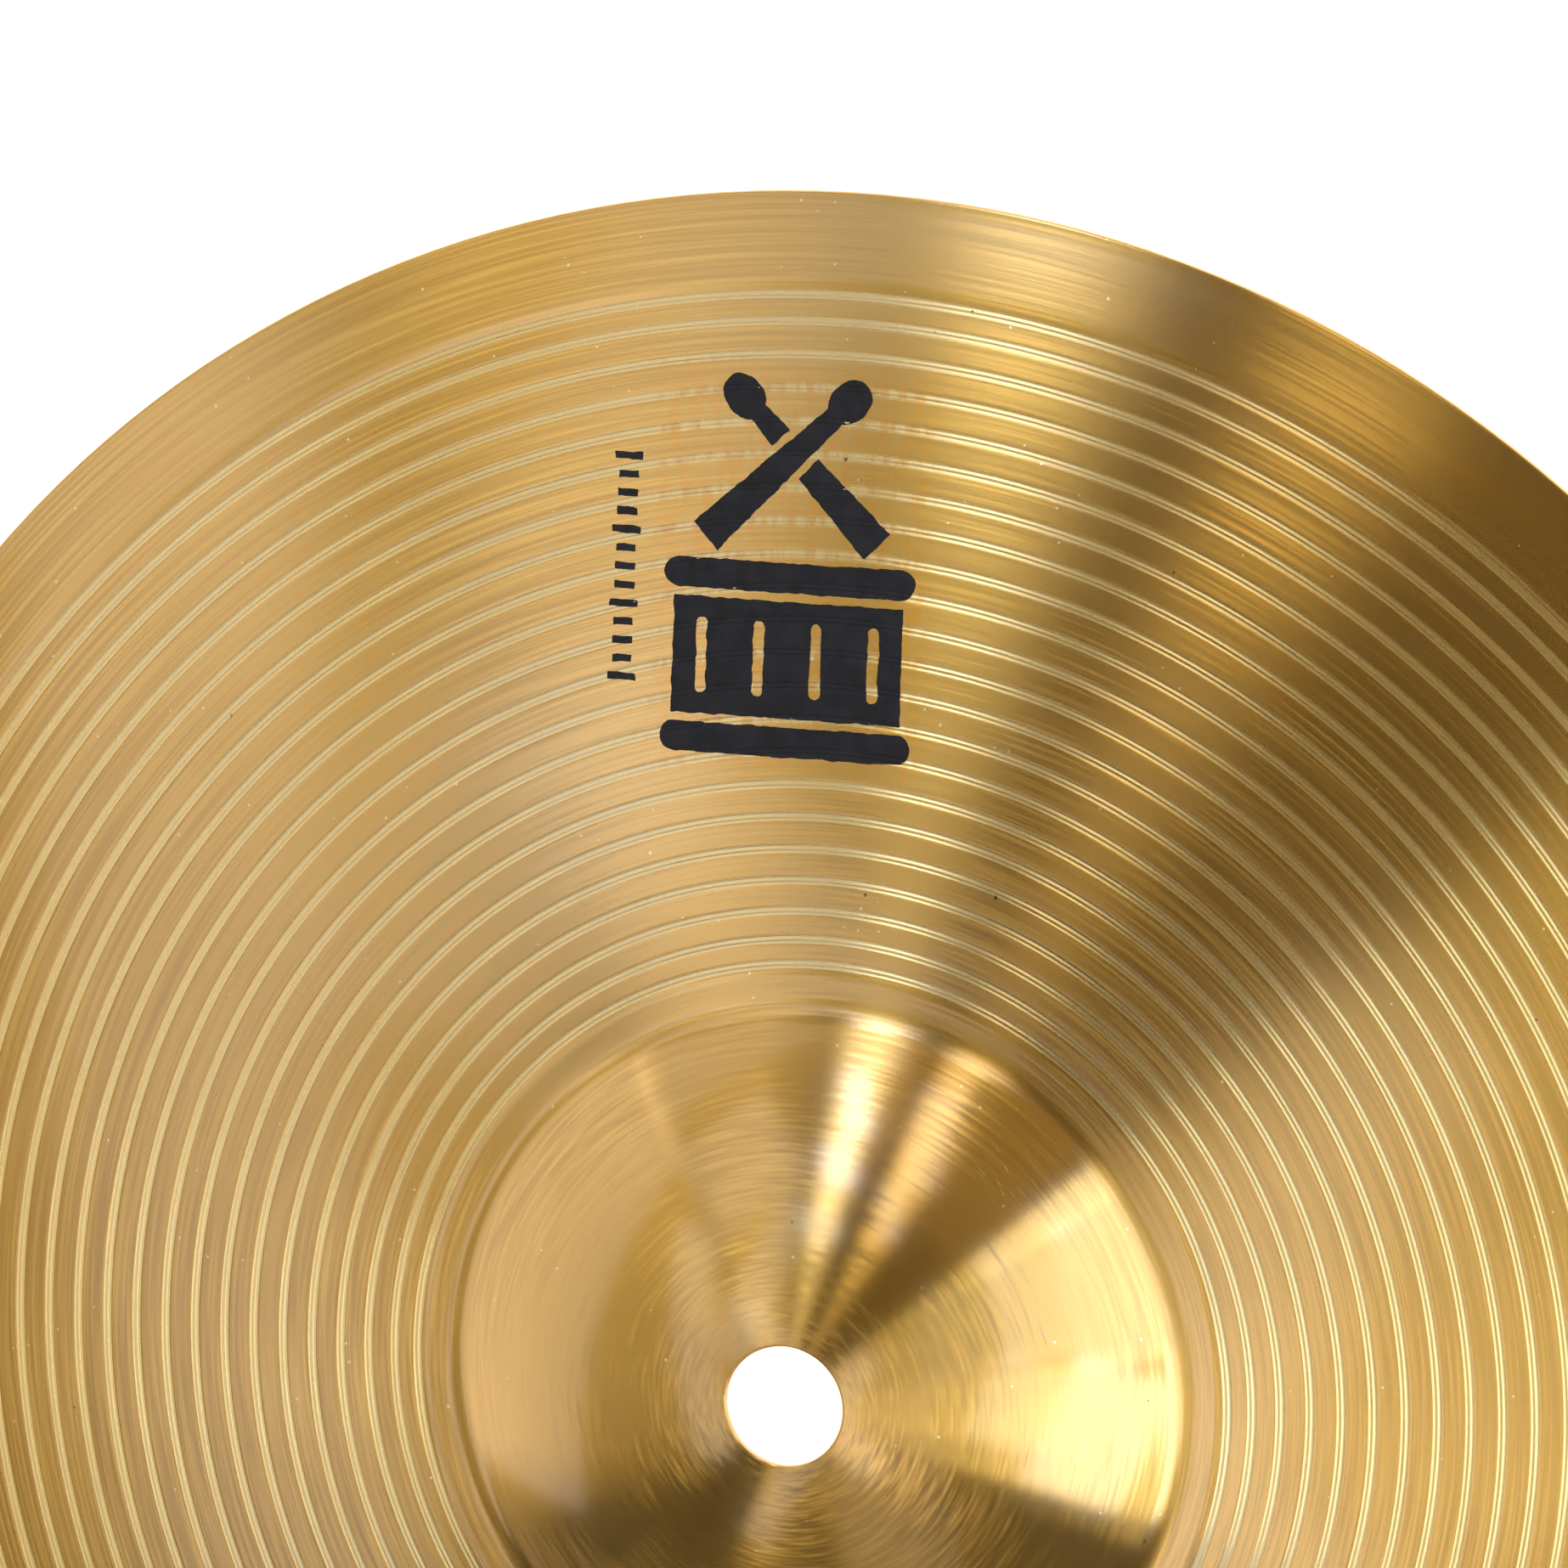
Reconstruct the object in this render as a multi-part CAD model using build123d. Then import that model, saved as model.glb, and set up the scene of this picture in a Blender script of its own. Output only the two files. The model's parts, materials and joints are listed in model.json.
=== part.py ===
from build123d import *
import math
import os

# A small suspended cymbal, pressed from one disc of sheet brass, with a mark printed on its top.
# Millimetres, +Z up along the axis the sheet is turned about, z = 0 on the plane of the rim.

# ---- the sheet ----
diameter = 254.0             # ten inches across the rim
sheet_thickness = 0.9
hole_diameter = 13.0         # clears the sleeve on a cymbal stand's rod
bow_rise = 10.2              # underside, from the rim up to the foot of the bell
bell_diameter = 80.0         # underside, across the foot of the bell
bell_rise = 12.3             # underside, from the foot up to where the crown would meet the axis
foot_radius = 6.0            # the hollow curve between bow and bell, on the top face
rim_round = 0.3
hole_edge_round = 0.15

# ---- the lathe-cut bands on the bow ----
band_count = 22
first_band_radius = 45.4
band_pitch = 3.49
inner_tuck = 1.79            # the bands by the bell are closer together, by this much in all
tuck_bands = 1.6             # and this is how many bands that takes to die away
last_band_pull = 0.7         # the last band before the plain edge is drawn in
cuts_per_band = 2
cut_width = 0.5
cut_depth = 0.08

# ---- the printed mark: a drum under crossed sticks, and a column of dashes ----
ink_thickness = 0.04
emblem_centre = (-4.9, 87.0)
drum_base_y = -19.8          # heights in the emblem run from its centre
hoop_length = 28.0
hoop_height = 3.2
hoop_gap = 0.9
shell_length = 25.6
shell_height = 12.4
lug_count = 4
lug_width = 1.2
lug_height = 8.0
stick_base_y = 3.1
stick_spread = 9.6           # from the emblem's middle to each stick's butt
stick_lean = 46.0            # degrees from upright
stick_length = 24.2
butt_width = 4.0
neck_width = 2.3
tip_length = 5.4
tip_width = 4.2
crossing_gap = 0.8           # bare line where one stick passes over the other
dash_column_x = -23.4
dash_column_low = 74.6
dash_column_high = 98.0
dash_count = 13
dash_width = 2.2
dash_height = 0.8
wide_dash_every = 4
wide_dash_width = 3.2
ink_margin = 10.0            # film made beyond the marks, before it is trimmed to them

rim_radius = diameter / 2
hole_radius = hole_diameter / 2
foot_r = bell_diameter / 2

# Bow and bell are two spheres centred on the axis. The foot curve touches both from above.
bow_centre_z = (bow_rise**2 + foot_r**2 - rim_radius**2) / (2 * bow_rise)
bow_sphere = math.hypot(rim_radius, bow_centre_z)
bell_sphere = (foot_r**2 + bell_rise**2) / (2 * bell_rise)
bell_centre_z = bow_rise + bell_rise - bell_sphere


def sphere_point(centre_z, sphere, radius):
    """The point of a sphere at a distance from the axis."""
    return (radius, centre_z + math.sqrt(sphere**2 - radius**2))


def foot_centre():
    """Centre of the foot curve, which lies above the sheet."""
    to_bow = bow_sphere + sheet_thickness + foot_radius
    to_bell = bell_sphere + sheet_thickness + foot_radius
    apart = bell_centre_z - bow_centre_z
    above_bow = (to_bow**2 - to_bell**2 + apart**2) / (2 * apart)
    return (math.sqrt(to_bow**2 - above_bow**2), bow_centre_z + above_bow)


def touch_radius(centre_z, sphere):
    """Distance from the axis at which the foot curve touches a sphere."""
    radius, z = foot_centre()
    return radius * sphere / math.hypot(radius, z - centre_z)


def face_line(lift):
    """One face of the sheet from hole to rim, lifted off the underside along its normal."""
    bow = bow_sphere + lift
    bell = bell_sphere + lift
    foot = foot_radius + sheet_thickness - lift
    bell_end = touch_radius(bell_centre_z, bell)
    bow_start = touch_radius(bow_centre_z, bow)
    centre = Vector(*foot_centre())
    crown = Vector(*sphere_point(bell_centre_z, bell, hole_radius))
    mid_bell = Vector(*sphere_point(bell_centre_z, bell, (hole_radius + bell_end) / 2))
    foot_in = Vector(*sphere_point(bell_centre_z, bell, bell_end))
    foot_out = Vector(*sphere_point(bow_centre_z, bow, bow_start))
    mid_foot = centre + ((foot_in + foot_out) / 2 - centre).normalized() * foot
    mid_bow = Vector(*sphere_point(bow_centre_z, bow, (bow_start + rim_radius) / 2))
    rim = Vector(*sphere_point(bow_centre_z, bow, rim_radius))
    arcs = [
        ThreePointArc(crown, mid_bell, foot_in),
        ThreePointArc(foot_in, mid_foot, foot_out),
        ThreePointArc(foot_out, mid_bow, rim),
    ]
    return crown, rim, arcs


def plain_section():
    """The sheet's section beside the axis, with rounded rim and hole edges."""
    low_crown, low_rim, underside = face_line(0)
    top_crown, top_rim, top = face_line(sheet_thickness)
    ends = [Line(low_rim, top_rim), Line(low_crown, top_crown)]
    section = make_face(Wire(underside + top + ends))
    corners = section.vertices().sort_by(Axis.X)
    section = fillet(corners[:2], hole_edge_round)
    corners = section.vertices().sort_by(Axis.X)
    return fillet(corners[-2:], rim_round)


def band_radius(index):
    """An even feed, closed up beside the bell and again at the last band."""
    tuck = inner_tuck * (1 - math.exp(-index / tuck_bands))
    pull = last_band_pull if index == band_count - 1 else 0
    return first_band_radius + band_pitch * index - tuck - pull


def band_cutter():
    """Side-by-side V cuts, drawn about the surface they are cut in."""
    width = cuts_per_band * cut_width
    points = [(-width / 2, cut_depth), (-width / 2, 0)]
    for cut in range(cuts_per_band):
        left = -width / 2 + cut * cut_width
        points += [(left + cut_width / 2, -cut_depth), (left + cut_width, 0)]
    points.append((width / 2, cut_depth))
    return make_face(Polyline(*points, close=True))


def grooved_section():
    """The sheet's section with the bands cut in its top face, set down on the rim plane."""
    top_sphere = bow_sphere + sheet_thickness
    section = plain_section()
    for index in range(band_count):
        radius = band_radius(index)
        x, z = sphere_point(bow_centre_z, top_sphere, radius)
        lean = -math.degrees(math.asin(radius / top_sphere))
        section -= Pos(x, z) * Rot(Z=lean) * band_cutter()
    return Pos(0, -section.bounding_box().min.Y) * section


def turned(section):
    """A section drawn in X and Y, stood up and turned about the Z axis."""
    return revolve(Plane.XZ * section, Axis.Z, 360)


def ink_shell(section):
    """A film on the bow's top face that follows the groove cuts."""
    inner = dash_column_low - ink_margin
    outer = emblem_centre[1] + 2 * shell_length
    film = (Pos(0, ink_thickness) * section) - section
    window = Pos((inner + outer) / 2, bow_rise) * Rectangle(outer - inner, 4 * bow_rise)
    return film & window


def stick():
    """One drumstick standing on its butt at the origin: tapered shaft and oval bead."""
    shaft_length = stick_length - tip_length * 0.8
    shaft = make_face(
        Polyline(
            (-butt_width / 2, 0),
            (butt_width / 2, 0),
            (neck_width / 2, shaft_length),
            (-neck_width / 2, shaft_length),
            close=True,
        )
    )
    bead = Pos(0, stick_length - tip_length / 2) * Ellipse(tip_width / 2, tip_length / 2)
    return shaft + bead


def emblem_outline():
    """A drum with two hoops and its lugs left bare, under a pair of crossed sticks."""
    low_hoop = Pos(0, drum_base_y + hoop_height / 2) * SlotOverall(hoop_length, hoop_height)
    shell_y = drum_base_y + hoop_height + hoop_gap + shell_height / 2
    shell = Pos(0, shell_y) * Rectangle(shell_length, shell_height)
    lug_pitch = shell_length / lug_count
    for lug in range(lug_count):
        lug_x = (lug - (lug_count - 1) / 2) * lug_pitch
        shell -= Pos(lug_x, shell_y) * SlotOverall(lug_height, lug_width, rotation=90)
    high_hoop_y = shell_y + shell_height / 2 + hoop_gap + hoop_height / 2
    high_hoop = Pos(0, high_hoop_y) * SlotOverall(hoop_length, hoop_height)
    front = Pos(-stick_spread, stick_base_y) * Rot(Z=-stick_lean) * stick()
    back = Pos(stick_spread, stick_base_y) * Rot(Z=stick_lean) * stick()
    gap = offset(front, crossing_gap)
    return low_hoop + shell + high_hoop + front + (back - gap)


def dash_outline():
    """A column of short level dashes, every few of them wider."""
    pitch = (dash_column_high - dash_column_low) / (dash_count - 1)
    dashes = Sketch()
    for dash in range(dash_count):
        wide = dash % wide_dash_every == 0
        width = wide_dash_width if wide else dash_width
        dashes += Pos(dash_column_x, dash_column_low + dash * pitch) * Rectangle(width, dash_height)
    return dashes


def printed(outline, shell):
    """The part of the ink film that lies inside an outline seen from above."""
    return shell & extrude(outline, 2 * bow_rise)


section = grooved_section()
film = turned(ink_shell(section))
parts = {
    "cymbal": turned(section),
    "printed_emblem": printed(Pos(*emblem_centre) * emblem_outline(), film),
    "printed_dashes": printed(dash_outline(), film),
}

os.makedirs("parts", exist_ok=True)
for name, part in parts.items():
    export_step(part, f"parts/{name}.step")
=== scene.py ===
import json
import math

import bpy
import numpy as np
from mathutils import Matrix, Quaternion, Vector, noise
from mathutils.geometry import delaunay_2d_cdt


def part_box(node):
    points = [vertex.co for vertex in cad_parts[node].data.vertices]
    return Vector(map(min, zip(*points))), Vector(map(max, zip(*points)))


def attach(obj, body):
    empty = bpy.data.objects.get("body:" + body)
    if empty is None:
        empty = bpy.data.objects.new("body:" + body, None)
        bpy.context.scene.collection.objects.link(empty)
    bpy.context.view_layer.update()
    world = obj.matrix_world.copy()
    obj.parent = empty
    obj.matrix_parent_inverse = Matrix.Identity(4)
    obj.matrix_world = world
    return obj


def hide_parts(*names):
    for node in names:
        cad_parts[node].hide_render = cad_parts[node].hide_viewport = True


# A small brass cymbal, lying on a pale table under soft studio light. Metres, +Z up.

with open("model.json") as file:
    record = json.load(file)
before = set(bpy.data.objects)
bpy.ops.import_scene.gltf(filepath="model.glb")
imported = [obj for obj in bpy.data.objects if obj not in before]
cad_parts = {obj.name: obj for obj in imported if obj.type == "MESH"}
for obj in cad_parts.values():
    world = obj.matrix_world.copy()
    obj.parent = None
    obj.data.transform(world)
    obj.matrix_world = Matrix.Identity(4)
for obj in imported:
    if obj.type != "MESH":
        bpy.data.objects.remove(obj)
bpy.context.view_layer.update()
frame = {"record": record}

MM = 0.001

# ---- sizes that come from the frame ----
LOW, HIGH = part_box("cymbal")
MOUNT = frame["record"]["mounts"][0]
RIM = HIGH[0]
HOLE = MOUNT["dims"]["r_mm"] * MM
SHEET = MOUNT["dims"]["length_mm"] * MM
CROWN_TOP = HIGH[2]

# ---- the sheet's section, as it is designed ----
BOW_RISE = 10.2 * MM          # underside, rim to foot of bell
FOOT = 40.0 * MM              # radius of the bell at its foot
BELL_RISE = 12.3 * MM
FOOT_CURVE = 6.0 * MM
RIM_ROUND = 0.3 * MM
HOLE_ROUND = 0.15 * MM

# ---- the groove bands ----
BANDS = 22
FIRST_BAND = 45.4 * MM
BAND_PITCH = 3.49 * MM
INNER_TUCK = 1.79 * MM        # the bands by the bell are closer together, by this much in all
TUCK_BANDS = 1.6              # and this is how many bands that takes to die away
LAST_PULL = 0.7 * MM          # the last band before the plain edge is drawn in
CUTS = 2
CUT_WIDTH = 0.5 * MM
CUT_DEPTH = 0.075 * MM
BAND_EDGE = 0.01 * MM         # a ring this close to the edge of a band belongs to the bow

# ---- how many rings and turns the sheet is drawn with ----
STEPS_PER_CUT = 6
BETWEEN_BANDS = (0.08, 0.5, 0.92)
TURN_STEPS = 216
TOP_BELL_RINGS = 30
TOP_FOOT_RINGS = 10
TOP_INNER_RINGS = 4           # from the foot curve to the first band
TOP_EDGE_RINGS = 8            # from the last band to the rim
LOW_BOW_RINGS = 22
LOW_FOOT_RINGS = 8
LOW_BELL_RINGS = 16
EDGE_POINTS = 5               # along a rounded edge

BOW_Z = (BOW_RISE**2 + FOOT**2 - RIM**2) / (2 * BOW_RISE)
BOW_SPHERE = math.hypot(RIM, BOW_Z)
BELL_SPHERE = (FOOT**2 + BELL_RISE**2) / (2 * BELL_RISE)
BELL_Z = BOW_RISE + BELL_RISE - BELL_SPHERE


def sphere_z(centre_z, sphere, radius):
    return centre_z + math.sqrt(sphere**2 - radius**2)


# how far the section was let down, so that the rim lies on z = 0
DROP = sphere_z(BELL_Z, BELL_SPHERE + SHEET, HOLE + HOLE_ROUND) - CROWN_TOP


def foot_centre():
    """Centre of the curve between bow and bell, above the sheet."""
    to_bow = BOW_SPHERE + SHEET + FOOT_CURVE
    to_bell = BELL_SPHERE + SHEET + FOOT_CURVE
    apart = BELL_Z - BOW_Z
    up = (to_bow**2 - to_bell**2 + apart**2) / (2 * apart)
    return math.sqrt(to_bow**2 - up**2), BOW_Z + up


FOOT_R, FOOT_Z = foot_centre()


def touch(centre_z, sphere):
    """Radius at which the foot curve touches a sphere."""
    return FOOT_R * sphere / math.hypot(FOOT_R, FOOT_Z - centre_z)


def smooth_height(radius, lift):
    """Height of a face of the sheet before any groove is cut, lifted off the underside."""
    bell, bow = BELL_SPHERE + lift, BOW_SPHERE + lift
    if radius <= touch(BELL_Z, bell):
        z = sphere_z(BELL_Z, bell, radius)
    elif radius >= touch(BOW_Z, bow):
        z = sphere_z(BOW_Z, bow, radius)
    else:
        curve = FOOT_CURVE + SHEET - lift
        z = FOOT_Z - math.sqrt(curve**2 - (radius - FOOT_R) ** 2)
    return z - DROP


def band_radius(index):
    """An even feed, closed up beside the bell and again at the last band."""
    tuck = INNER_TUCK * (1 - math.exp(-index / TUCK_BANDS))
    pull = LAST_PULL if index == BANDS - 1 else 0.0
    return FIRST_BAND + BAND_PITCH * index - tuck - pull


BAND_RADII = [band_radius(i) for i in range(BANDS)]
HALF_BAND = CUTS * CUT_WIDTH / 2


def cut_depth(radius):
    """How deep the lathe tool has gone at a radius."""
    for centre in BAND_RADII:
        across = radius - centre
        if abs(across) < HALF_BAND:
            return CUT_DEPTH * (1 - math.cos(math.tau * (across + HALF_BAND) / CUT_WIDTH)) / 2
    return 0.0


def in_band(radius):
    return min(abs(radius - centre) for centre in BAND_RADII) < HALF_BAND - BAND_EDGE


def top_height(radius):
    return smooth_height(radius, SHEET) - cut_depth(radius)


def bow_radii():
    """Radii at which the top of the bow is drawn: close together in a band, far apart between."""
    radii = []
    steps = CUTS * STEPS_PER_CUT
    for index, centre in enumerate(BAND_RADII):
        radii += [centre - HALF_BAND + CUTS * CUT_WIDTH * k / steps for k in range(steps + 1)]
        if index + 1 < BANDS:
            left = centre + HALF_BAND
            right = BAND_RADII[index + 1] - HALF_BAND
            radii += [left + (right - left) * part for part in BETWEEN_BANDS]
    return radii


def spaced(start, stop, count):
    return [start + (stop - start) * k / (count - 1) for k in range(count)]


def rounded_corner(centre, radius, start, stop, count):
    """Points of a round edge, by angle in degrees."""
    cx, cz = centre
    angles = [math.radians(a) for a in spaced(start, stop, count)]
    return [(cx + radius * math.cos(a), cz + radius * math.sin(a)) for a in angles]


def section():
    """The closed outline of the sheet's section, hole to rim along the top and back underneath."""
    hole_in = HOLE + HOLE_ROUND
    top_hole = top_height(hole_in)
    low_hole = smooth_height(hole_in, 0.0)
    rim_in = RIM - RIM_ROUND
    top_rim = top_height(rim_in)
    low_rim = smooth_height(rim_in, 0.0)
    points = rounded_corner((hole_in, top_hole - HOLE_ROUND), HOLE_ROUND, 180, 95, EDGE_POINTS)
    bell_end = touch(BELL_Z, BELL_SPHERE + SHEET)
    bow_start = touch(BOW_Z, BOW_SPHERE + SHEET)
    radii = spaced(HOLE + 2.5 * HOLE_ROUND, bell_end, TOP_BELL_RINGS)
    radii += spaced(bell_end, bow_start, TOP_FOOT_RINGS)[1:]
    radii += spaced(bow_start, BAND_RADII[0] - HALF_BAND, TOP_INNER_RINGS)[1:-1]
    radii += bow_radii()
    radii += spaced(BAND_RADII[-1] + HALF_BAND, rim_in, TOP_EDGE_RINGS)[1:]
    points += [(r, top_height(r)) for r in radii]
    points += rounded_corner((rim_in, top_rim - RIM_ROUND), RIM_ROUND, 75, 0, EDGE_POINTS)
    points += rounded_corner((rim_in, low_rim + RIM_ROUND), RIM_ROUND, 0, -75, EDGE_POINTS)
    low_bell_end = touch(BELL_Z, BELL_SPHERE)
    low_bow_start = touch(BOW_Z, BOW_SPHERE)
    radii = spaced(rim_in, low_bow_start, LOW_BOW_RINGS)
    radii += spaced(low_bow_start, low_bell_end, LOW_FOOT_RINGS)[1:]
    radii += spaced(low_bell_end, hole_in, LOW_BELL_RINGS)[1:]
    points += [(r, smooth_height(r, 0.0)) for r in radii]
    points += rounded_corner((hole_in, low_hole + HOLE_ROUND), HOLE_ROUND, 260, 180, EDGE_POINTS - 1)
    return points


def new_object(name, verts, faces, material):
    mesh = bpy.data.meshes.new(name)
    mesh.from_pydata(verts, [], faces)
    mesh.update()
    mesh.polygons.foreach_set("use_smooth", [True] * len(mesh.polygons))
    obj = bpy.data.objects.new(name, mesh)
    bpy.context.scene.collection.objects.link(obj)
    mesh.materials.append(material)
    return obj


def turned(name, outline, material):
    """A closed outline turned about the Z axis, with the points inside the cut bands marked."""
    count = len(outline)
    rings = np.array(outline)
    turns = np.linspace(0.0, math.tau, TURN_STEPS, endpoint=False)
    verts = np.empty((TURN_STEPS, count, 3))
    verts[:, :, 0] = np.cos(turns)[:, None] * rings[None, :, 0]
    verts[:, :, 1] = np.sin(turns)[:, None] * rings[None, :, 0]
    verts[:, :, 2] = rings[None, :, 1]
    faces = []
    for turn in range(TURN_STEPS):
        here, there = turn * count, (turn + 1) % TURN_STEPS * count
        for k in range(count):
            after = (k + 1) % count
            faces.append((here + k, here + after, there + after, there + k))
    obj = new_object(name, verts.reshape(-1, 3).tolist(), faces, material)
    on_top = rings[:, 1] > np.array([smooth_height(min(r, RIM), SHEET / 2) for r in rings[:, 0]])
    cut = np.array([in_band(r) for r in rings[:, 0]]) & on_top
    marks = obj.data.attributes.new("cut", "FLOAT", "POINT")
    marks.data.foreach_set("value", np.tile(cut * 1.0, TURN_STEPS))
    return obj


# ---- the printed mark, in millimetres, about the centre of the emblem ----
INK = 0.04
INK_ROOT = 0.01               # how far the film is let into the metal
EMBLEM_CENTRE = (-4.9, 87.0)
DRUM_BASE_Y = -19.8
HOOP_LENGTH, HOOP_HEIGHT, HOOP_GAP = 28.0, 3.2, 0.9
SHELL_LENGTH, SHELL_HEIGHT = 25.6, 12.4
LUGS, LUG_WIDTH, LUG_HEIGHT = 4, 1.2, 8.0
STICK_BASE_Y, STICK_SPREAD, STICK_LEAN = 3.1, 9.6, 46.0
STICK_LENGTH, BUTT_WIDTH, NECK_WIDTH = 24.2, 4.0, 2.3
TIP_LENGTH, TIP_WIDTH = 5.4, 4.2
CROSSING_GAP = 0.8
DASH_X, DASH_LOW, DASH_HIGH = -23.4, 74.6, 98.0
DASHES, DASH_WIDTH, DASH_HEIGHT = 13, 2.2, 0.8
WIDE_DASH_EVERY, WIDE_DASH_WIDTH = 4, 3.2
RAG_STEP = 0.22               # between the points of a printed edge
SLOW_RAG, QUICK_RAG = 0.13, 0.06    # how far the edge strays, in long waves and in short ones
SLOW_WAVES, QUICK_WAVES = 0.9, 2.7  # to the millimetre
FILM_STEP = 0.6               # between the film's inner points, around the sheet
FILM_MARGIN = 0.14            # between the film's inner points and its edge
CREASE = 50                   # degrees, between the film's top and its sides
RAG_SEED = 5


def bar(x, y, length, height):
    """Outline of a level bar with round ends."""
    reach, end = (length - height) / 2, height / 2
    turns = spaced(-math.pi / 2, math.pi / 2, 13)
    right = [(x + reach + end * math.cos(a), y + end * math.sin(a)) for a in turns]
    left = [(2 * x - px, 2 * y - py) for px, py in right]
    return right + left


def block(x, y, width, height):
    """Outline of a rectangle."""
    w, h = width / 2, height / 2
    return [(x - w, y - h), (x + w, y - h), (x + w, y + h), (x - w, y + h)]


def stick():
    """Outline of a drumstick standing on its butt: tapered shaft and oval bead."""
    neck = math.asin(NECK_WIDTH / TIP_WIDTH)
    middle = STICK_LENGTH - TIP_LENGTH / 2
    turns = spaced(math.pi - neck, neck - math.pi, 31)
    bead = [(TIP_WIDTH / 2 * math.sin(a), middle + TIP_LENGTH / 2 * math.cos(a)) for a in turns]
    return [(-BUTT_WIDTH / 2, 0.0), (BUTT_WIDTH / 2, 0.0)] + bead


def leaned(points, x, degrees):
    """Points turned about the origin and stood on the line that the sticks stand on."""
    turn = Matrix.Rotation(math.radians(degrees), 2)
    return [tuple(turn @ Vector(p) + Vector((x, STICK_BASE_Y))) for p in points]


def beyond(outline, origin, ahead):
    """The part of an outline that lies ahead of a line."""
    depths = [(Vector(p) - origin).dot(ahead) for p in outline]
    kept = []
    for k, depth in enumerate(depths):
        if depth * depths[k - 1] < 0:
            part = depths[k - 1] / (depths[k - 1] - depth)
            kept.append(tuple(Vector(outline[k - 1]).lerp(Vector(outline[k]), part)))
        if depth >= 0:
            kept.append(outline[k])
    return kept


def crossed_sticks():
    """The front stick whole, and the back one in two pieces with a bare gap at the crossing."""
    front = leaned(stick(), -STICK_SPREAD, -STICK_LEAN)
    back = leaned(stick(), STICK_SPREAD, STICK_LEAN)
    pieces = [front]
    for side in (1, -1):
        flank = [(side * BUTT_WIDTH / 2, 0), (side * NECK_WIDTH / 2, STICK_LENGTH - TIP_LENGTH)]
        butt, neck = leaned(flank, -STICK_SPREAD, -STICK_LEAN)
        along = (Vector(neck) - Vector(butt)).normalized()
        away = Vector((along.y, -along.x)) * side
        pieces.append(beyond(back, Vector(butt) + away * CROSSING_GAP, away))
    return pieces


def emblem_loops():
    """A drum with its lugs left bare, under a pair of crossed sticks."""
    shell_y = DRUM_BASE_Y + HOOP_HEIGHT + HOOP_GAP + SHELL_HEIGHT / 2
    high_y = shell_y + SHELL_HEIGHT / 2 + HOOP_GAP + HOOP_HEIGHT / 2
    loops = [bar(0, y, HOOP_LENGTH, HOOP_HEIGHT) for y in (DRUM_BASE_Y + HOOP_HEIGHT / 2, high_y)]
    loops.append(block(0, shell_y, SHELL_LENGTH, SHELL_HEIGHT))
    for lug in range(LUGS):
        lug_x = (lug - (LUGS - 1) / 2) * SHELL_LENGTH / LUGS
        level = bar(lug_x, shell_y, LUG_HEIGHT, LUG_WIDTH)
        loops.append([(lug_x - (py - shell_y), shell_y + px - lug_x) for px, py in level])
    loops += crossed_sticks()
    cx, cy = EMBLEM_CENTRE
    return [[(cx + x, cy + y) for x, y in loop] for loop in loops]


def dash_loops():
    """A column of short level dashes, every few of them wider."""
    loops = []
    for dash, y in enumerate(spaced(DASH_LOW, DASH_HIGH, DASHES)):
        width = WIDE_DASH_WIDTH if dash % WIDE_DASH_EVERY == 0 else DASH_WIDTH
        loops.append(block(DASH_X, y, width, DASH_HEIGHT))
    return loops


def ragged(loop):
    """An outline as a screen prints it: points close together, pushed a little off the line."""
    points = []
    for k, end in enumerate(loop):
        start = Vector(loop[k - 1])
        count = max(1, round((Vector(end) - start).length / RAG_STEP))
        points += [start.lerp(Vector(end), n / count) for n in range(count)]
    rough = []
    for point in points:
        slow = noise.noise_vector(Vector((point.x * SLOW_WAVES, point.y * SLOW_WAVES, 4.0)))
        quick = noise.noise_vector(Vector((point.x * QUICK_WAVES, point.y * QUICK_WAVES, 9.0)))
        x = point.x + SLOW_RAG * slow.x + QUICK_RAG * quick.x
        y = point.y + SLOW_RAG * slow.y + QUICK_RAG * quick.y
        rough.append((x, y))
    return rough


def inside(points, loops):
    """Whether each point is inside an odd number of the loops."""
    x, y = points[:, 0:1], points[:, 1:2]
    crossings = np.zeros(len(points), dtype=int)
    for loop in loops:
        ends = np.array(loop)
        starts = np.roll(ends, 1, axis=0)
        spans = (starts[:, 1] > y) != (ends[:, 1] > y)
        rise = np.where(starts[:, 1] == ends[:, 1], 1.0, ends[:, 1] - starts[:, 1])
        meets = starts[:, 0] + (y - starts[:, 1]) / rise * (ends[:, 0] - starts[:, 0])
        crossings += np.sum(spans & (x < meets), axis=1)
    return crossings % 2 == 1


def ring_points(loops):
    """Points inside the loops on the sheet's own rings, so that the film follows every cut."""
    edge = np.array([p for loop in loops for p in loop])
    reach = np.hypot(edge[:, 0], edge[:, 1])
    turns = np.arctan2(edge[:, 1], edge[:, 0])
    rings = [r / MM for r in bow_radii() if reach.min() < r / MM < reach.max()]
    step = FILM_STEP / reach.mean()
    angles = np.arange(turns.min(), turns.max(), step)
    ring, angle = np.meshgrid(rings, angles)
    points = np.stack([ring * np.cos(angle), ring * np.sin(angle)], axis=-1).reshape(-1, 2)
    points = points[inside(points, loops)]
    gaps = [np.hypot(*(edge - point).T).min() for point in points]
    return points[np.array(gaps) > FILM_MARGIN]


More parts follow.
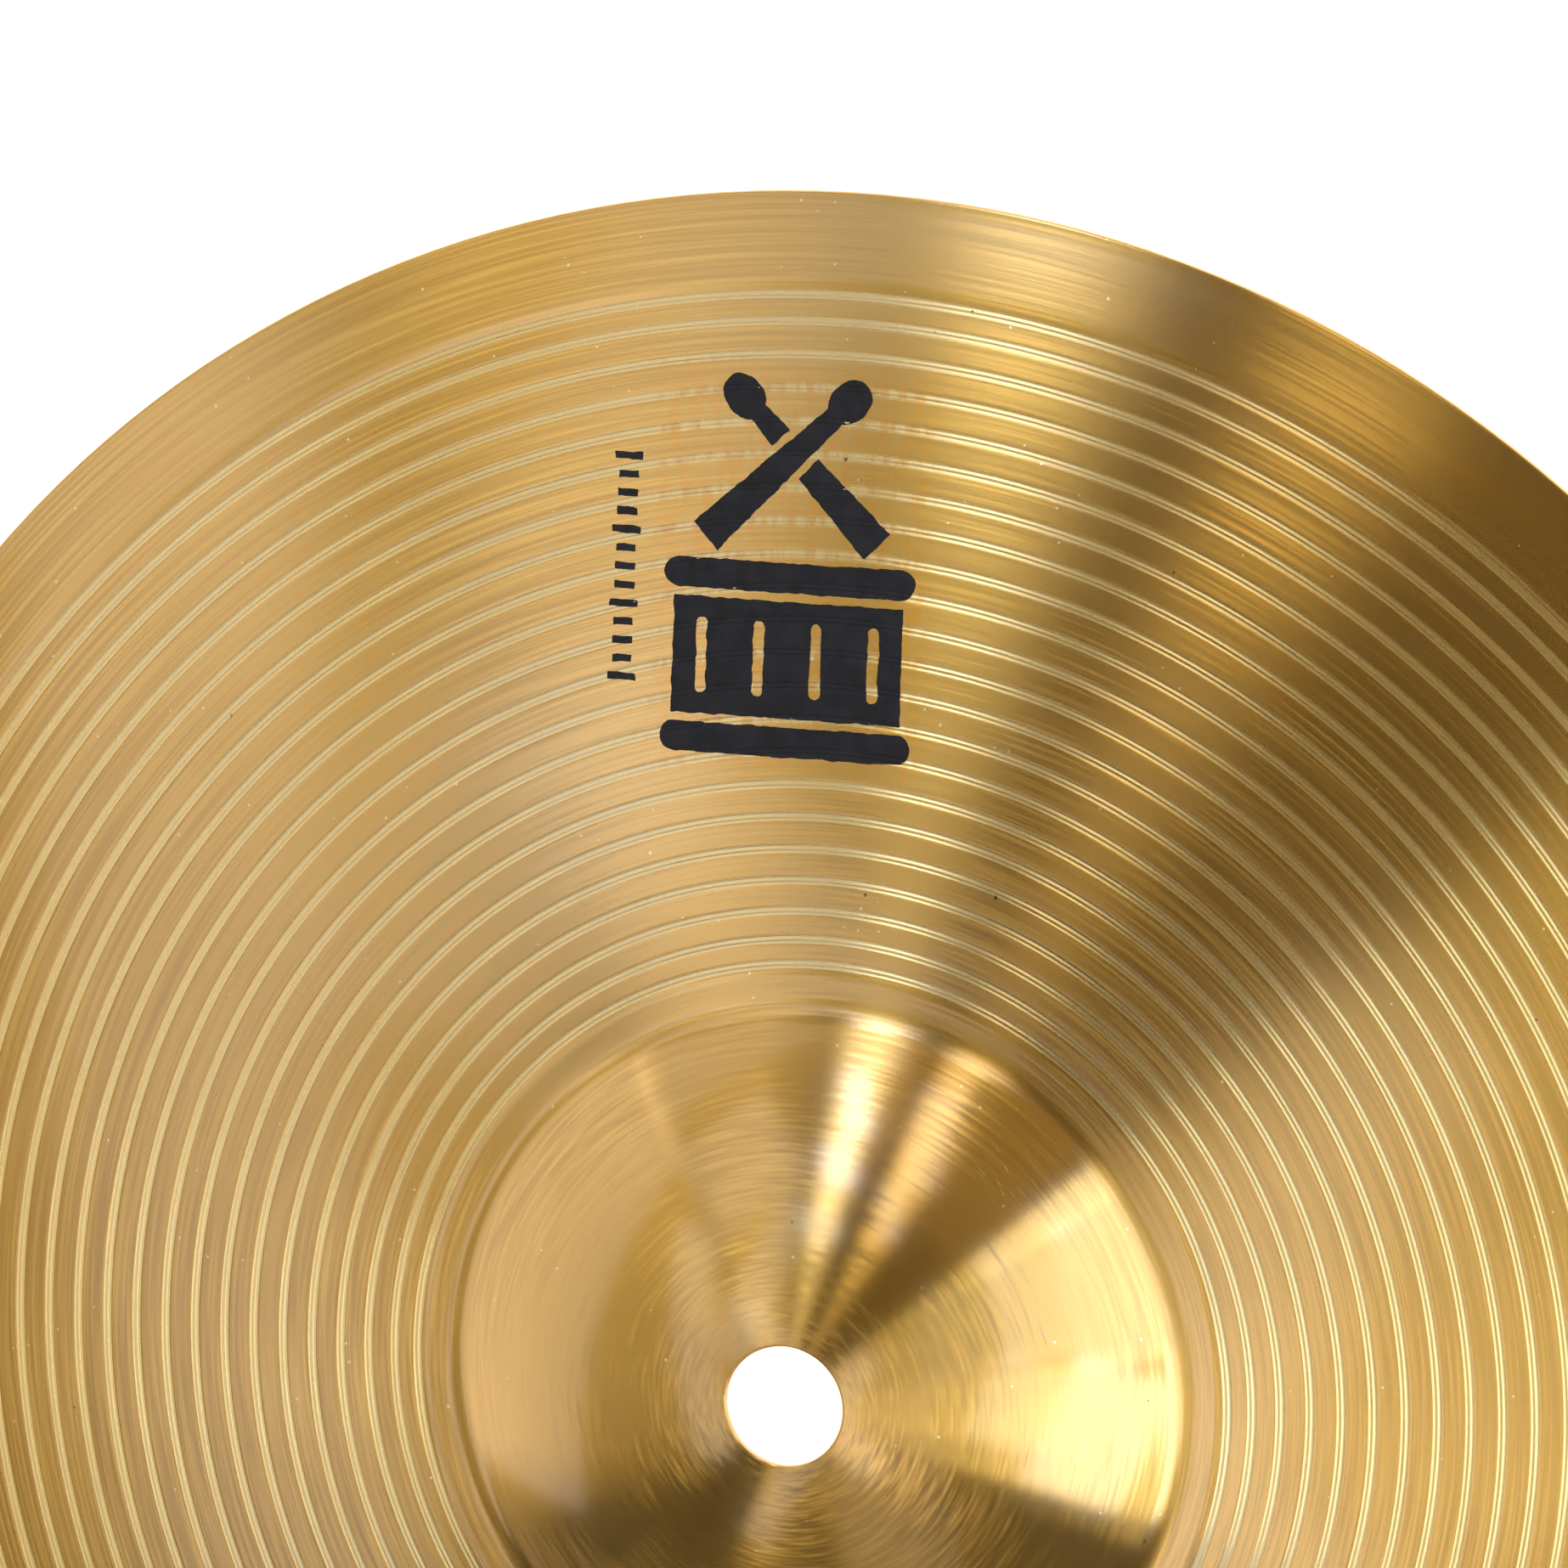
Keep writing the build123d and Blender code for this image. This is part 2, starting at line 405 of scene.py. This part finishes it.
def film(name, loops, material):
    """A thin closed skin of ink over the grooves, inside the loops."""
    corners, edges = [], []
    for loop in loops:
        first = len(corners)
        corners += [Vector(p) for p in loop]
        edges += [(first + k, first + (k + 1) % len(loop)) for k in range(len(loop))]
    corners += [Vector(p) for p in ring_points(loops)]
    flat, _, faces, *_ = delaunay_2d_cdt(corners, edges, [], 0, 1e-6)
    flat = np.array(flat)
    triangles = np.array(faces)
    triangles = triangles[inside(flat[triangles].mean(axis=1), loops)]
    used, triangles = np.unique(triangles, return_inverse=True)
    flat, triangles = flat[used], triangles.reshape(-1, 3)
    surface = np.array([top_height(r * MM) for r in np.hypot(flat[:, 0], flat[:, 1])])
    verts = [(x * MM, y * MM, z + INK * MM) for (x, y), z in zip(flat, surface)]
    verts += [(x * MM, y * MM, z - INK_ROOT * MM) for (x, y), z in zip(flat, surface)]
    under = len(flat)
    faces = [tuple(t) for t in triangles.tolist()]
    sides = {(t[k], t[(k + 1) % 3]) for t in faces for k in range(3)}
    walls = [(b, a, a + under, b + under) for a, b in sides if (b, a) not in sides]
    faces += [(a + under, c + under, b + under) for a, b, c in faces] + sorted(walls)
    obj = new_object(name, verts, faces, material)
    obj.data.set_sharp_from_angle(angle=math.radians(CREASE))
    return obj


def rgb(red, green, blue):
    return (red, green, blue, 1.0)


# ---- materials ----
BRASS, WARM_BRASS = rgb(0.82, 0.465, 0.09), rgb(0.85, 0.49, 0.11)
HAIR_SHADE, LINE_SHADE = rgb(0.62, 0.32, 0.05), rgb(0.66, 0.35, 0.06)
# pale bare cut metal, made paler still as a painted highlight that fills the groove bands
CUT_METAL_AND_HIGHLIGHT = rgb(1.0, 0.70, 0.26)
STAIN = rgb(0.80, 0.36, 0.03)
# pale scratch colour, also used for specks that are partly painted glints
SCRATCH_AND_GLINT = rgb(1.0, 0.85, 0.55)
PIT = rgb(0.10, 0.06, 0.02)
INK_BLACK, INK_GREY = rgb(0.012, 0.010, 0.010), rgb(0.019, 0.016, 0.017)
INK_FLECK = rgb(0.05, 0.055, 0.065)
HAIRS_PER_MM, LINES_PER_MM = 2.8, 1.1
HAIR_TIP = 0.32               # the slope that the hairlines put on the surface, between the extremes
LINE_TIP = 0.10               # and that of the broader tool lines
STAIN_FADE = (0.4 * MM, 2.2 * MM)   # from the printed mark to where its stain starts and ends fading
SCUFF_PLACE = (22.0 * MM, 26.0 * MM, CROWN_TOP - 7.0 * MM)
SCUFF_TURN = 52               # degrees
SCUFF_FADE = (1.2 * MM, 4.5 * MM)


class Nodes:
    """Short words for building a material's node tree."""

    def __init__(self, name):
        self.material = bpy.data.materials.new(name)
        self.material.use_nodes = True
        self.tree = self.material.node_tree
        self.shader = next(n for n in self.tree.nodes if n.type == "BSDF_PRINCIPLED")

    def add(self, kind, **settings):
        node = self.tree.nodes.new("ShaderNode" + kind)
        for key, value in settings.items():
            setattr(node, key, value)
        return node

    def link(self, source, target):
        self.tree.links.new(source, target)

    def feed(self, socket, value):
        if isinstance(value, bpy.types.NodeSocket):
            self.link(value, socket)
        else:
            socket.default_value = value

    def math(self, operation, *values):
        node = self.add("Math", operation=operation)
        for socket, value in zip(node.inputs, values):
            self.feed(socket, value)
        return node.outputs[0]

    def vector(self, operation, *values):
        node = self.add("VectorMath", operation=operation)
        sockets = [node.inputs[0], node.inputs["Scale"]] if operation == "SCALE" else node.inputs
        for socket, value in zip(sockets, values):
            self.feed(socket, value)
        return node.outputs["Value" if operation == "LENGTH" else "Vector"]

    def scaled(self, vector, amount):
        """A vector times one number, or times three."""
        return self.vector("MULTIPLY", vector, amount if isinstance(amount, tuple) else (amount,) * 3)

    def attribute(self, name):
        return self.add("Attribute", attribute_name=name).outputs["Fac"]

    def combine(self, x, y, z):
        node = self.add("CombineXYZ")
        for socket, value in zip(node.inputs, (x, y, z)):
            self.feed(socket, value)
        return node.outputs[0]

    def noise(self, vector, detail):
        node = self.add("TexNoise")
        self.link(vector, node.inputs["Vector"])
        node.inputs["Scale"].default_value = 1.0
        node.inputs["Detail"].default_value = detail
        return node.outputs["Fac"]

    def span(self, value, low, high, to_low=0.0, to_high=1.0):
        node = self.add("MapRange", clamp=True)
        for socket, v in zip(node.inputs, (value, low, high, to_low, to_high)):
            self.feed(socket, v)
        return node.outputs[0]

    def mix(self, amount, first, second):
        node = self.add("Mix", data_type="RGBA", clamp_factor=True)
        self.feed(node.inputs["Factor"], amount)
        self.feed(node.inputs["A"], first)
        self.feed(node.inputs["B"], second)
        return node.outputs["Result"]

    def bump(self, height, strength, distance):
        node = self.add("Bump")
        node.inputs["Strength"].default_value = strength
        node.inputs["Distance"].default_value = distance
        self.link(height, node.inputs["Height"])
        return node.outputs["Normal"]


def polar(nodes):
    """Object position, distance from the axis in millimetres, and the direction round the axis."""
    place = nodes.add("TexCoord").outputs["Object"]
    split = nodes.add("SeparateXYZ")
    nodes.link(place, split.inputs[0])
    flat = nodes.combine(split.outputs["X"], split.outputs["Y"], 0.0)
    radius = nodes.vector("LENGTH", flat)
    heading = nodes.vector("NORMALIZE", flat)
    return place, nodes.math("MULTIPLY", radius, 1 / MM), heading


def ring_noise(nodes, radius, heading, per_mm, round_scale, seed):
    """Noise drawn out along the brushing: fine across it, long around it."""
    split = nodes.add("SeparateXYZ")
    nodes.link(heading, split.inputs[0])
    x = nodes.math("MULTIPLY", split.outputs["X"], round_scale)
    y = nodes.math("MULTIPLY_ADD", split.outputs["Y"], round_scale, seed)
    z = nodes.math("MULTIPLY", radius, per_mm)
    return nodes.noise(nodes.combine(x, y, z), detail=1.0)


def brushed_normal(nodes, heading, hair, line):
    """The surface's own normal, tipped in and out along the radius by each brush line."""
    tip = nodes.math("MULTIPLY_ADD", hair, HAIR_TIP, -HAIR_TIP / 2)
    tip = nodes.math("ADD", tip, nodes.math("MULTIPLY_ADD", line, LINE_TIP, -LINE_TIP / 2))
    own = nodes.add("NewGeometry").outputs["Normal"]
    return nodes.vector("NORMALIZE", nodes.vector("ADD", own, nodes.vector("SCALE", heading, tip)))


def lacquer_normal(nodes, place):
    """The surface's own normal, but that of the plain bow over the cuts, which the lacquer levels."""
    own = nodes.add("NewGeometry").outputs["Normal"]
    level = nodes.vector("NORMALIZE", nodes.vector("SUBTRACT", place, (0.0, 0.0, BOW_Z - DROP)))
    filled = nodes.math("GREATER_THAN", nodes.attribute("cut"), 0.001)
    return nodes.vector("ADD", own, nodes.vector("SCALE", nodes.vector("SUBTRACT", level, own), filled))


def speckle(nodes, place, per_mm, size, share, seed):
    """Small round specks: cells to the millimetre, width in cells, and the share of cells with one."""
    moved = nodes.vector("ADD", nodes.scaled(place, per_mm / MM), (seed, seed, 0.0))
    cells = nodes.add("TexVoronoi", voronoi_dimensions="3D")
    nodes.link(moved, cells.inputs["Vector"])
    cells.inputs["Scale"].default_value = 1.0
    split = nodes.add("SeparateColor")
    nodes.link(cells.outputs["Color"], split.inputs[0])
    chosen = nodes.math("LESS_THAN", split.outputs[0], share)
    width = nodes.math("MULTIPLY_ADD", split.outputs[1], size, size / 2)
    near = nodes.math("LESS_THAN", cells.outputs["Distance"], width)
    return nodes.math("MULTIPLY", chosen, near)


def near_print(nodes, place):
    """One beside the printed mark, falling to nothing a little way off."""
    low, high = (Vector(corner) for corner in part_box("printed_emblem"))
    middle, half = (low + high) / 2, (high - low) / 2
    off = nodes.vector("ABSOLUTE", nodes.vector("SUBTRACT", place, (middle.x, middle.y, 0.0)))
    past = nodes.vector("MAXIMUM", nodes.vector("SUBTRACT", off, (half.x, half.y, 1.0)), (0.0, 0.0, 0.0))
    return nodes.span(nodes.vector("LENGTH", past), *STAIN_FADE, 1.0, 0.0)


def scuff(nodes, place):
    """A few short pale scratches in one patch on the bell."""
    off = nodes.vector("SUBTRACT", place, SCUFF_PLACE)
    spin = nodes.add("VectorRotate", rotation_type="Z_AXIS")
    nodes.link(off, spin.inputs["Vector"])
    spin.inputs["Angle"].default_value = math.radians(SCUFF_TURN)
    streaks = nodes.noise(nodes.scaled(spin.outputs[0], (420.0, 2600.0, 0.0)), detail=2.0)
    patch = nodes.span(nodes.vector("LENGTH", off), *SCUFF_FADE, 1.0, 0.0)
    return nodes.math("MULTIPLY", patch, nodes.span(streaks, 0.60, 0.66))


def brass_material():
    """Circularly brushed brass under clear lacquer: hairlines, pale cuts brightened with a painted
    highlight, pale specks that are partly painted glints, pits and a stain by the print.
    """
    nodes = Nodes("brushed_brass")
    shader = nodes.shader
    place, radius, heading = polar(nodes)
    hair = ring_noise(nodes, radius, heading, HAIRS_PER_MM, 4.0, 3.0)
    line = ring_noise(nodes, radius, heading, LINES_PER_MM, 1.5, 11.0)
    cloud = nodes.noise(nodes.scaled(place, 45.0), detail=3.0)
    cut = nodes.attribute("cut")
    pits = speckle(nodes, place, 0.22, 0.035, 0.22, 7.0)
    # small pale specks: scratches in the metal, and painted glints
    scratch_and_glint_specks = speckle(nodes, place, 0.5, 0.06, 0.35, 19.0)

    colour = nodes.mix(nodes.span(cloud, 0.35, 0.65), BRASS, WARM_BRASS)
    colour = nodes.mix(nodes.span(hair, 0.32, 0.68, 0.0, 0.62), colour, HAIR_SHADE)
    colour = nodes.mix(nodes.span(line, 0.35, 0.65, 0.0, 0.3), colour, LINE_SHADE)
    # painted highlight: the cut bands take a pale colour, partly the bare cut metal and partly the light
    # they catch
    colour = nodes.mix(nodes.math("MULTIPLY", cut, 0.9), colour, CUT_METAL_AND_HIGHLIGHT)
    streaks = nodes.noise(nodes.scaled(place, (900.0, 260.0, 0.0)), detail=2.0)
    stain = nodes.math("MULTIPLY", near_print(nodes, place), nodes.span(streaks, 0.42, 0.62))
    colour = nodes.mix(nodes.math("MULTIPLY", stain, 0.55), colour, STAIN)
    # painted glints: pale specks over the whole sheet, partly real scratches
    colour = nodes.mix(nodes.math("MULTIPLY", scratch_and_glint_specks, 0.7), colour, SCRATCH_AND_GLINT)
    colour = nodes.mix(nodes.math("MULTIPLY", pits, 0.85), colour, PIT)
    colour = nodes.mix(nodes.math("MULTIPLY", scuff(nodes, place), 0.8), colour, SCRATCH_AND_GLINT)
    nodes.link(colour, shader.inputs["Base Color"])

    shader.inputs["Metallic"].default_value = 1.0
    rough = nodes.math("MULTIPLY_ADD", cut, 0.055, nodes.span(hair, 0.3, 0.7, 0.21, 0.235))
    nodes.link(rough, shader.inputs["Roughness"])
    shader.inputs["Anisotropic"].default_value = 1.0
    shader.inputs["Anisotropic Rotation"].default_value = 0.25
    tangent = nodes.add("Tangent", direction_type="RADIAL", axis="Z")
    nodes.link(tangent.outputs[0], shader.inputs["Tangent"])
    shader.inputs["Coat Weight"].default_value = 1.0
    shader.inputs["Coat Roughness"].default_value = 0.13
    shader.inputs["Coat IOR"].default_value = 1.7

    nodes.link(brushed_normal(nodes, heading, hair, line), shader.inputs["Normal"])
    nodes.link(lacquer_normal(nodes, place), shader.inputs["Coat Normal"])
    return nodes.material


def ink_material():
    """Black screen ink: a dull skin with a fine grain and faint blue flecks."""
    nodes = Nodes("screen_ink")
    place = nodes.add("TexCoord").outputs["Object"]
    grain = nodes.noise(nodes.scaled(place, 2600.0), detail=3.0)
    blotch = nodes.noise(nodes.scaled(place, 420.0), detail=2.0)
    flecks = speckle(nodes, place, 1.6, 0.10, 0.10, 5.0)
    colour = nodes.mix(nodes.span(blotch, 0.35, 0.65), INK_BLACK, INK_GREY)
    colour = nodes.mix(nodes.math("MULTIPLY", flecks, 0.5), colour, INK_FLECK)
    nodes.link(colour, nodes.shader.inputs["Base Color"])
    nodes.link(nodes.span(grain, 0.3, 0.7, 0.5, 0.68), nodes.shader.inputs["Roughness"])
    nodes.shader.inputs["Specular IOR Level"].default_value = 0.25
    nodes.link(nodes.bump(grain, 0.8, 0.012 * MM), nodes.shader.inputs["Normal"])
    return nodes.material


# ---- the cymbal ----
noise.seed_set(RAG_SEED)      # Blender seeds it from the clock, and the print's edge would differ each run
brass = brass_material()
ink = ink_material()
cymbal = turned("cymbal_sheet", section(), brass)
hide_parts("cymbal")
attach(cymbal, "root")
for node, loops in (("printed_emblem", emblem_loops()), ("printed_dashes", dash_loops())):
    print_film = film(node.replace("printed", "ink"), [ragged(loop) for loop in loops], ink)
    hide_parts(node)
    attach(print_film, "root")


# ---- the table, the room and the lights ----
TABLE_HALF = 6.0
TABLE_GAP = 0.2 * MM          # below the rim
PANEL_DISTANCE = 1.2          # from the bell to every light


def floor():
    """A pale table just under the rim."""
    corners = [(x * TABLE_HALF, y * TABLE_HALF, 0) for x, y in ((-1, -1), (1, -1), (1, 1), (-1, 1))]
    nodes = Nodes("pale_table")
    nodes.shader.inputs["Base Color"].default_value = rgb(0.9, 0.9, 0.9)
    nodes.shader.inputs["Roughness"].default_value = 0.8
    nodes.shader.inputs["Emission Color"].default_value = rgb(1, 1, 1)
    nodes.shader.inputs["Emission Strength"].default_value = 1.0
    table = new_object("table", corners, [(0, 1, 2, 3)], nodes.material)
    table.location.z = LOW[2] - TABLE_GAP


def room(strength):
    """Pale all round to the eye, and dim as a light."""
    world = bpy.data.worlds.new("room")
    bpy.context.scene.world = world
    world.use_nodes = True
    tree = world.node_tree
    shade = tree.nodes["Background"]
    shade.inputs["Color"].default_value = rgb(1.0, 1.0, 1.0)
    path = tree.nodes.new("ShaderNodeLightPath")
    level = tree.nodes.new("ShaderNodeMapRange")
    tree.links.new(path.outputs["Is Camera Ray"], level.inputs["Value"])
    level.inputs["To Min"].default_value = strength
    level.inputs["To Max"].default_value = 1.0
    tree.links.new(level.outputs[0], shade.inputs["Strength"])


def panel(name, azimuths, elevations, radiance, tint=(1.0, 1.0, 1.0), lean=0.0):
    """A flat rectangular light facing the bell, over a span of azimuth and of elevation in degrees."""
    azimuth = math.radians(sum(azimuths) / 2)
    elevation = math.radians(sum(elevations) / 2)
    half_wide = math.radians(azimuths[1] - azimuths[0]) / 2 * math.cos(elevation)
    half_high = math.radians(elevations[1] - elevations[0]) / 2
    level = math.cos(elevation)
    outward = Vector((level * math.cos(azimuth), level * math.sin(azimuth), math.sin(elevation)))
    data = bpy.data.lights.new(name, "AREA")
    data.shape = "RECTANGLE"
    data.size = 2 * PANEL_DISTANCE * math.tan(half_wide)
    data.size_y = 2 * PANEL_DISTANCE * math.tan(half_high)
    data.energy = radiance * math.pi * data.size * data.size_y
    data.color = tint
    light = bpy.data.objects.new(name, data)
    light.location = outward * PANEL_DISTANCE
    turn = outward.to_track_quat("Z", "Y") @ Quaternion((0, 0, 1), math.radians(lean))
    light.rotation_euler = turn.to_euler()
    light.visible_camera = False
    bpy.context.scene.collection.objects.link(light)


def studio():
    """A bright bank to the right, narrow strips beyond the cymbal, pale walls to the left and in front."""
    cool, blue = (0.88, 1.0, 1.18), (0.82, 1.0, 1.6)
    warm, amber = (1.2, 1.0, 0.6), (1.25, 1.0, 0.35)
    panel("bank_low", (-45, 40), (24, 40), 1.6, cool)
    panel("bank_front", (-45, -8), (40, 58), 3.6, cool)
    panel("bank", (-8, 33), (40, 58), 2.5, cool)
    panel("bank_edge", (32, 42), (40, 58), 2.5, cool)
    panel("bank_front_high", (-45, -8), (58, 70), 1.9, cool)
    panel("bank_high", (-8, 33), (58, 70), 1.8, cool)
    panel("bank_edge_high", (32, 42), (58, 70), 1.8, cool)
    panel("bank_top", (-45, 42), (70, 84), 0.35, cool)
    panel("gap", (43, 74), (38, 72), 0.27, amber)
    panel("between", (87, 99), (20, 58), 0.35, amber)
    panel("strip", (75, 87), (46, 64), 2.4)
    panel("strip_core", (76, 81), (17, 50), 0.75)
    panel("strip_high", (84, 96), (64, 74), 2.5)
    panel("strip_left", (99, 107), (44, 56), 4.8, blue)
    panel("strip_left_low", (93, 105), (16, 45), 1.3, cool)
    panel("strip_left_high", (104, 116), (56, 64), 4.5, blue)
    panel("strip_left_top", (116, 133), (65, 72), 2.6, cool)
    panel("left_top", (122, 197), (63, 70), 0.92, cool)
    panel("left_low", (104, 145), (4, 38), 0.8)
    panel("left_far", (122, 152), (43, 60), 1.0)
    panel("left", (155, 221), (52, 60), 1.32)
    panel("left_wall", (145, 212), (8, 38), 1.03, lean=-20.0)
    panel("front", (231, 243), (45, 86), 1.35)
    panel("front_right", (257, 286), (23, 81), 0.35)
    panel("front_low", (222, 290), (2, 18), 0.6)
    panel("right_low", (290, 365), (2, 18), 0.6)
    panel("overhead", (160, 280), (70, 76), 1.4)
    panel("far_low", (5, 112), (2, 17), 1.1, warm)


# ---- the camera ----

def camera():
    """Near overhead, tipped to the right and up, from far off, with the hole low in the frame."""
    tilt, azimuth, roll = math.radians(21.53), math.radians(34.13), math.radians(0.18)
    aim = Vector((-0.0584 * RIM, 0.4926 * RIM, SHEET))
    distance = 16.67 * RIM
    frame_width = 1.3154 * RIM      # what the frame spans at the aim point
    back = Vector((math.sin(tilt) * math.cos(azimuth), math.sin(tilt) * math.sin(azimuth), math.cos(tilt)))
    right = Vector((0, 1, 0)).cross(back).normalized()
    up = back.cross(right)
    turn = Matrix.Rotation(roll, 3, back)
    right, up = turn @ right, turn @ up
    data = bpy.data.cameras.new("camera")
    data.sensor_width = 36.0
    data.lens = data.sensor_width * distance / frame_width
    data.clip_end = 50.0
    view = bpy.data.objects.new("camera", data)
    facing = Matrix((right, up, back)).transposed().to_4x4()
    view.matrix_world = Matrix.Translation(aim + back * distance) @ facing
    bpy.context.scene.collection.objects.link(view)
    bpy.context.scene.camera = view


floor()
room(0.03)
studio()
camera()
bpy.context.scene.view_settings.view_transform = "Standard"
